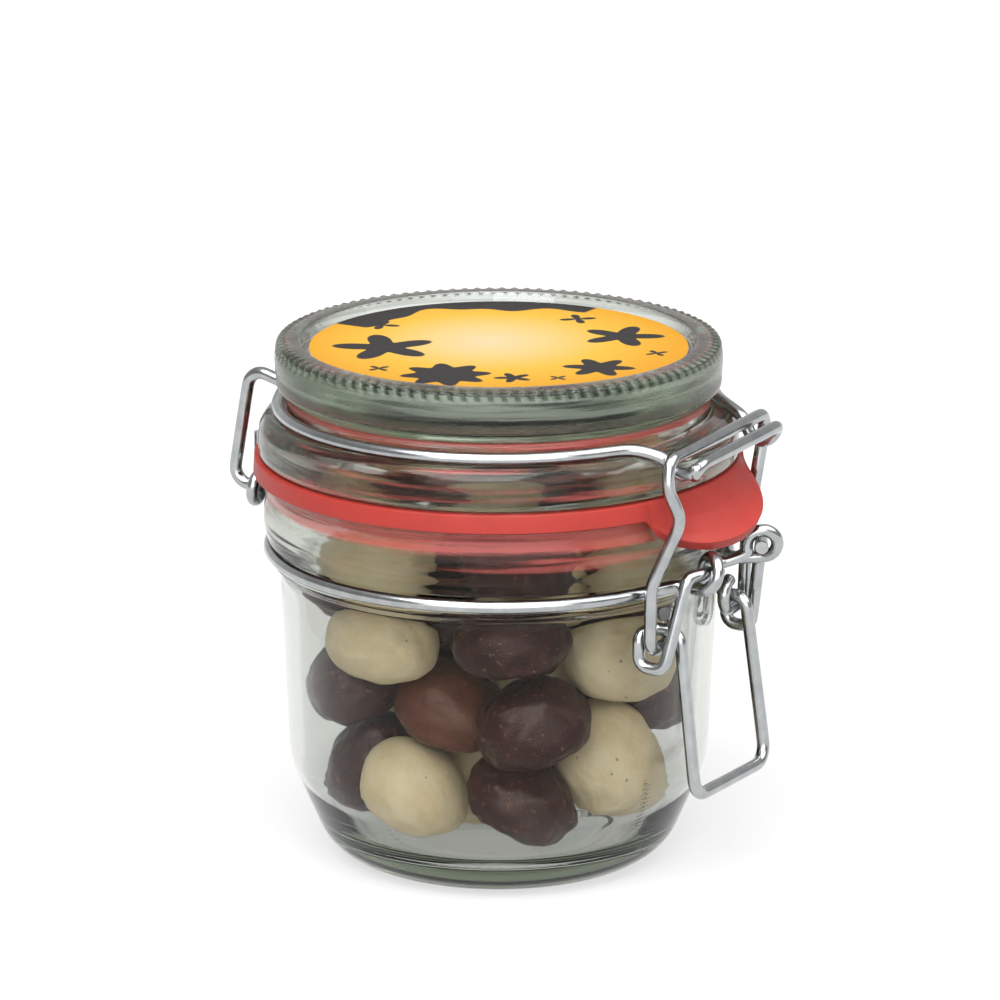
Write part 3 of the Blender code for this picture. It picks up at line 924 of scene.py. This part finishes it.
# ---------------------------------------------------------------- finishes

def clear_glass(name, ripple, gloss, streaks, red, frosted=None):
    """Pressed soda-lime glass: rippled, streaked round its neck, green where thick, and with a painted
    reflection of the red ring near it.

    Streaks is where the streaks start and end and how deep they are, red the height, half width and fading
    of the band of painted reflection of the ring's red, and frosted those of a beaded rim, which gets
    painted grey-green shade and painted shade in the grooves between its beads.
    """
    f = Finish(name)
    x, y, z = f.split(f.place)
    angle = y.math("ARCTAN2", x)
    low, high, depth = streaks
    neck = z.rise(low, low + 3) * z.rise(high, high - 3)
    drawn = f.joined(x * 0.035, y * 0.035, z)
    lines = f.noise(drawn, 0.36, 1.0, 0.4) * neck
    waves = f.noise(f.place, 0.05, 1.0, 0.4)
    fine = f.noise(f.place, 0.4, 2.0, 0.5)
    # A column of short pressed dashes at the heel
    dashes = angle.band(-0.305, 0.012, 0.004) * z.band(16.0, 4.5, 0.4) * (z * 7.5).cos().rise(0.0, 0.6)
    normal = f.bump(waves + fine * 0.06, ripple, f.bump(lines, depth, f.bump(dashes, 0.10)))
    threads = f.noise(drawn, 0.7, 3.0, 0.6)
    # Painted reflection of the red ring: red threads about the ring's height, and in the band given by red
    painted_share = threads.rise(0.50, 0.66) * z.band(75.0, 9.0, 5.0) * 0.42
    painted_share = painted_share.at_least(z.band(*red) * threads.rise(0.30, 0.55) * 0.65)
    rough = 0.015 + neck * 0.075
    clear = (0.755, 0.76, 0.745)
    # shade is the colour of the painted reflection of the red ring
    shade = (0.36, 0.055, 0.045)
    if frosted:
        radius = (x * x + y * y).math("SQRT")
        band = z.band(*frosted) * radius.rise(37.0, 39.0)
        rough = rough + band * (0.16 + threads * 0.2)
        clear = f.mix(band, clear, (0.90, 0.93, 0.89))
        # Painted shade: on the frosted rim the painted colour is a dark grey-green, laid over part of the
        # glass above 90 mm
        shade = f.mix(band, shade, (0.25, 0.285, 0.235))
        painted_share = painted_share.at_least(z.rise(89.6, 90.6) * band * (0.04 + threads.rise(0.38, 0.6) * 0.3))
        # Painted shade: the grooves between the beads are darkened, in the glass's colour and in the painted
        # colour
        groove_shade = 0.5 - (angle * BEADS + z * BEAD_SLANT).cos() * 0.5
        groove_shade = groove_shade.rise(0.45, 0.8) * z.rise(93.5, 94.0) * radius.rise(38.0, 38.5)
        clear = f.mix(groove_shade, clear, (0.20, 0.27, 0.20))
        shade = f.mix(groove_shade, shade, (0.05, 0.07, 0.05))
    glass = f.add("ShaderNodeBsdfPrincipled", None, {
        "Base Color": f.solid(clear), "Roughness": rough, "IOR": 1.5, "Transmission Weight": 1.0,
        "Specular Tint": (gloss, gloss * 1.05, gloss, 1.0), "Normal": normal,
    })
    painted_surface = f.add("ShaderNodeBsdfPrincipled", None, {
        "Base Color": f.solid(shade), "Roughness": 0.3, "Normal": normal,
    })
    # The painted colour lies over the glass as an opaque diffuse surface where painted_share says
    both = f.add("ShaderNodeMixShader", None, {0: painted_share, 1: glass, 2: painted_surface})
    thick = f.add("ShaderNodeVolumeAbsorption", None, {"Color": (0.70, 0.743, 0.67, 1.0), "Density": 72.0})
    f.add("ShaderNodeOutputMaterial", None, {"Surface": both, "Volume": thick}, None)
    return f.material


def red_rubber():
    """Moulded red rubber with a satin skin, fine grain and a few pale marks of dust."""
    f = Finish("red rubber")
    grain = f.noise(f.place, 1.9, 4.0, 0.6)
    patches = f.noise(f.place, 0.16, 2.0, 0.5)
    dust = f.noise(f.place, 2.6, 3.0, 0.7).rise(0.66, 0.76) * 0.25
    red = f.mix(patches, (0.22, 0.0165, 0.012), (0.265, 0.023, 0.0165))
    colour = f.mix(dust, red, (0.36, 0.13, 0.10))
    normal = f.bump(grain, 0.06)
    return f.close({"Base Color": colour, "Roughness": 0.38 + grain * 0.2,
                    "Specular IOR Level": 0.28, "Normal": normal})


def zinc_wire():
    """Bright zinc-plated drawn wire: streaks along it, dull spots and small dark nicks."""
    f = Finish("zinc-plated wire")
    along = f.attribute("along") * 1000
    x, y, _ = f.split(f.attribute("around", "Vector"))
    streaks = f.noise(f.joined(x * 4200, y * 4200, along * 0.22), 1.0, 3.0, 0.6)
    cloudy = f.noise(f.place, 0.35, 3.0, 0.55)
    nicks = f.noise(f.place, 1.7, 3.0, 0.7).rise(0.68, 0.75)
    tone = f.mix(cloudy.rise(0.3, 0.7), (0.36, 0.375, 0.38), (0.43, 0.44, 0.445))
    colour = f.mix(nicks * 0.5, tone, (0.16, 0.15, 0.14))
    rough = 0.13 + streaks * 0.09 + cloudy * 0.05 + nicks * 0.2
    normal = f.bump(streaks, 0.010, f.bump(cloudy, 0.02))
    return f.close({"Base Color": colour, "Metallic": 1.0, "Roughness": rough, "Normal": normal})


# Each blossom's place on the label, its size, the number of its petals and how deep they are cut
BLOSSOMS = (
    (-17.5, -10.5, 9.4, 5, 0.30),
    (1.5, -23.0, 8.0, 8, 0.16),
    (16.5, 16.5, 7.6, 5, 0.30),
    (23.0, -6.0, 6.4, 6, 0.24),
    (13.0, -19.5, 3.4, 5, 0.3),
    (-26.0, 4.0, 3.4, 4, 0.4),
    (3.5, 24.5, 3.4, 4, 0.4),
    (27.5, 8.0, 2.2, 4, 0.4),
    (-11.0, -24.5, 2.2, 4, 0.4),
    (20.0, -16.0, 1.8, 4, 0.4),
)


def blossom(x, y, at_x, at_y, size, petals, deep):
    """1 inside a flower of round petals, 0 outside it."""
    side, out = x - at_x, y - at_y
    lobes = (out.math("ARCTAN2", side) * petals + at_x).cos() * deep + (1 - deep)
    return ((side * side + out * out).math("SQRT") / (lobes * size)).rise(1.04, 0.97)


def printed_label():
    """Satin printed paper: a pale glow in a warm yellow field, with dark blossoms and a hilly border."""
    f = Finish("printed label")
    x, y, z = f.split(f.place)
    radius = (x * x + y * y).math("SQRT")
    angle = y.math("ARCTAN2", x)
    off_x = x + 3.0
    off_y = y - 2.0
    glow = (off_x * off_x + off_y * off_y).math("SQRT")
    field = f.ramp(glow / LABEL_RADIUS, [
        (0.0, (0.39, 0.29, 0.17)),
        (0.30, (0.39, 0.27, 0.10)),
        (0.62, (0.385, 0.225, 0.020)),
        (1.0, (0.36, 0.165, 0.004)),
    ])
    hills = (angle * 7.0).sin() * 1.6 + (angle * 17.0).sin() * 0.7
    dark = (radius + hills).rise(28.2, 28.5) * angle.band(2.3, 0.8, 0.02)
    for row in BLOSSOMS:
        dark = dark.at_least(blossom(x, y, *row))
    colour = f.mix(dark, field, (0.012, 0.010, 0.010))
    # The back is plain pale paper
    colour = f.mix(z.rise(LABEL_TOP - 0.05, LABEL_TOP - 0.1), colour, (0.80, 0.79, 0.76))
    paper = f.noise(f.place, 2.5, 3.0, 0.6)
    normal = f.bump(paper, 0.02)
    return f.close({"Base Color": colour, "Roughness": 0.42 + paper * 0.12, "Specular IOR Level": 0.12,
                    "Normal": normal})


def coating(name, low, high, pale, rough, pits, marks):
    """A chocolate coating: two mixed tones, waves and pits in relief with painted shade in the pits, and
    paler specks and scuffs.
    """
    f = Finish(name)
    # Each piece's number gives it a pattern of its own, on its own place, about in millimetres
    number = f.attribute("number")
    own = f.scaled(f.attribute("own", "Vector"), 10.0)
    large = f.noise(own, 0.22, 2.0, 0.5, w=number)
    medium = f.noise(own, 0.8, 2.0, 0.5, w=number + 3.0)
    fine = f.noise(own, 1.2, 3.0, 0.6, w=number * 1.37 + 7.5)
    spots = f.plus(own, f.joined(number * 37.3, number * 17.9, 0.0))
    long_spots = f.plus(f.scaled(own, 0.8), f.joined(large * 9.0, number * 23.1, medium * 3.0))
    holes = f.cells(spots, 0.30).rise(0.11, 0.04) * large.rise(0.50, 0.54)
    holes = holes.at_least(f.cells(long_spots, 0.22).rise(0.07, 0.03))
    specks = f.cells(f.plus(spots, (5.0, 3.0, 1.0)), 0.33).rise(0.07, 0.04)
    tone = f.mix(large.rise(0.3, 0.7), low, high)
    scuffs = medium.rise(0.54, 0.64) * fine.rise(0.50, 0.60)
    colour = f.mix(scuffs * marks, tone, pale)
    colour = f.mix(specks * marks, colour, pale)
    # Painted shade: the pits are darkened to half the lower tone
    colour = f.mix(holes * pits, colour, tuple(c * 0.5 for c in low))
    relief = large * 0.55 + medium * 0.13 + fine * 0.006 - holes * 0.3 * pits
    normal = f.bump(relief, 1.1)
    return f.close({"Base Color": colour, "Roughness": rough + fine * 0.2 + scuffs * 0.15, "IOR": 1.45,
                    "Specular IOR Level": 0.3, "Normal": normal})


# ---------------------------------------------------------------- the pieces

def fit(piece, slot, *nodes):
    """Puts a finished piece on the jar's one body, in place of its solids."""
    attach(piece, "root")
    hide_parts(*nodes)
    return piece


def make_jar():
    # The last numbers of each glass give its band of painted reflection of the red ring, and the lid's
    # frosted rim with painted shade
    glass = clear_glass("jar glass", 0.10, 0.20, (54.0, 76.0, 0.45), (68.8, 1.5, 1.0))
    jar = stipple_tree().run(
        turned("jar_blank", jar_outline(), JAR_SIDES), "jar_clear", glass,
        dots=150, depth=0.25 * MM, pitch=1.1 * MM, inner=21.9 * MM, outer=26.2 * MM,
    )
    fit(jar, "glass", "jar_glass")
    glass = clear_glass("lid glass", 0.03, 0.40, (71.0, 90.0, 0.5), (85.2, 0.4, 0.7), (91.8, 3.4, 0.9))
    lid = bead_tree().run(
        turned("lid_blank", lid_outline(), BEADS * 6), "lid_clear", glass,
        beads=BEADS, depth=BEAD_DEPTH * MM, slant=BEAD_SLANT / MM,
        low=93.3 * MM, inner=37.9 * MM, fade=0.5 * MM,
    )
    fit(lid, "glass", "lid_glass")


def make_label():
    rings = 20
    disc = [Vector((LABEL_RADIUS * k / rings, LABEL_TOP)) for k in range(rings + 1)]
    back = LABEL_TOP - LABEL_THICKNESS
    disc += [Vector((LABEL_RADIUS, back)), Vector((0, back))]
    label = turned("label_print", disc, LABEL_SIDES)
    label.data.materials.append(printed_label())
    label.modifiers.new("Flat", "EDGE_SPLIT").split_angle = math.radians(40)
    fit(label, "label", "label")


def make_rubber():
    ring = make_ring()
    ring.data.materials.append(red_rubber())
    fit(ring, "rubber", "rubber_ring")


def make_wires():
    steel = zinc_wire()
    tree = wire_tree()
    routes = {
        "neck_wire": neck_wire_route(),
        "bail_wire": both_halves(bail_half),
        "link_wire": both_halves(link_half),
        "lever_wire": both_halves(lever_half),
    }
    for node, route in routes.items():
        fit(wire(node + "_bent", route, tree, steel), "wire", node)


def make_heap():
    make_kruidnoten({
        "white": coating("white coating", (0.73, 0.58, 0.36), (0.80, 0.67, 0.46), (0.86, 0.76, 0.56),
                         rough=0.38, pits=0.8, marks=0.35),
        "milk": coating("milk coating", (0.115, 0.036, 0.020), (0.15, 0.052, 0.030), (0.24, 0.12, 0.08),
                        rough=0.27, pits=0.5, marks=0.4),
        "dark": coating("dark coating", (0.040, 0.0095, 0.0085), (0.060, 0.017, 0.015), (0.24, 0.10, 0.055),
                        rough=0.26, pits=0.4, marks=0.7),
    })


# ---------------------------------------------------------------- stage, light and camera

def make_stage():
    """A plain pale floor that glows a little, so that it stays white behind the jar."""
    f = Finish("pale floor")
    grain = f.noise(f.place, 0.02, 2.0, 0.5)
    colour = f.mix(grain, (0.18, 0.18, 0.18), (0.19, 0.19, 0.19))
    f.close({"Base Color": colour, "Roughness": 0.7, "Specular IOR Level": 0.1,
             "Emission Color": (1.0, 1.0, 1.0, 1.0), "Emission Strength": 0.64})
    half = 3
    corners = [(-half, -half, 0), (half, -half, 0), (half, half, 0), (-half, half, 0)]
    mesh = bpy.data.meshes.new("floor")
    mesh.from_pydata(corners, [], [(0, 1, 2, 3)])
    put("floor", mesh, f.material)


def view_axes():
    """Level directions from the jar to the camera, and to the camera's right."""
    back = Vector((math.sin(VIEW_ANGLE), -math.cos(VIEW_ANGLE), 0))
    right = Vector((math.cos(VIEW_ANGLE), math.sin(VIEW_ANGLE), 0))
    return back, right


def make_light():
    """A grey studio, brighter overhead and behind the jar, and three soft lamps on the camera's side."""
    world = bpy.data.worlds.new("studio")
    bpy.context.scene.world = world
    world.use_nodes = True
    world.node_tree.nodes.clear()
    tree = Tree(world.node_tree)
    way = tree.add("ShaderNodeTexCoord", None, None, "Generated")
    x, y, z = tree.split(way)
    ahead = y * math.cos(VIEW_ANGLE) - x * math.sin(VIEW_ANGLE)
    level = 0.34 + ahead.rise(0.1, 0.9) * z.rise(0.8, 0.3) * 0.35 + z.rise(0.55, 0.95) * 0.3
    shine = tree.add("ShaderNodeBackground", None, {"Color": (1.0, 1.0, 1.0, 1.0), "Strength": level})
    tree.add("ShaderNodeOutputWorld", None, {"Surface": shine}, None)
    back, right = view_axes()
    up = Vector((0, 0, 1))
    lamps = (
        ("key", back * 0.55 - right * 0.2 + up, 50, 5.4),
        ("fill", back * 0.2 + right * 0.6 + up * 0.8, 60, 2.0),
        ("front", back + up * 0.3, 70, 3.2),
    )
    for name, place, wide, strength in lamps:
        lamp = bpy.data.lights.new(name, "SUN")
        lamp.angle = math.radians(wide)
        lamp.energy = strength
        aim(put(name, lamp), -place)


def aim(obj, way):
    """Turns a lamp or the camera to look along this way."""
    obj.rotation_mode = "QUATERNION"
    obj.rotation_quaternion = way.to_track_quat("-Z", "Y")


def make_camera():
    camera = put("camera", bpy.data.cameras.new("camera"))
    bpy.context.scene.camera = camera
    camera.data.sensor_width = 36.0
    camera.data.lens = VIEW_LENS
    back, right = view_axes()
    camera.location = (back * VIEW_DISTANCE + right * VIEW_ASIDE + Vector((0, 0, VIEW_HEIGHT))) * MM
    aim(camera, -back * math.cos(VIEW_PITCH) - Vector((0, 0, math.sin(VIEW_PITCH))))
    camera.data.clip_start = 0.05
    camera.data.clip_end = 20.0


def set_view():
    scene = bpy.context.scene
    scene.view_settings.view_transform = "Standard"
    scene.view_settings.look = "None"
    scene.cycles.max_bounces = 18
    scene.cycles.transmission_bounces = 18
    scene.cycles.transparent_max_bounces = 8
    scene.cycles.glossy_bounces = 6
    scene.cycles.diffuse_bounces = 4


def main():
    make_camera()
    make_jar()
    make_label()
    make_rubber()
    make_wires()
    make_heap()
    make_stage()
    make_light()
    set_view()
    bpy.context.view_layer.update()


main()
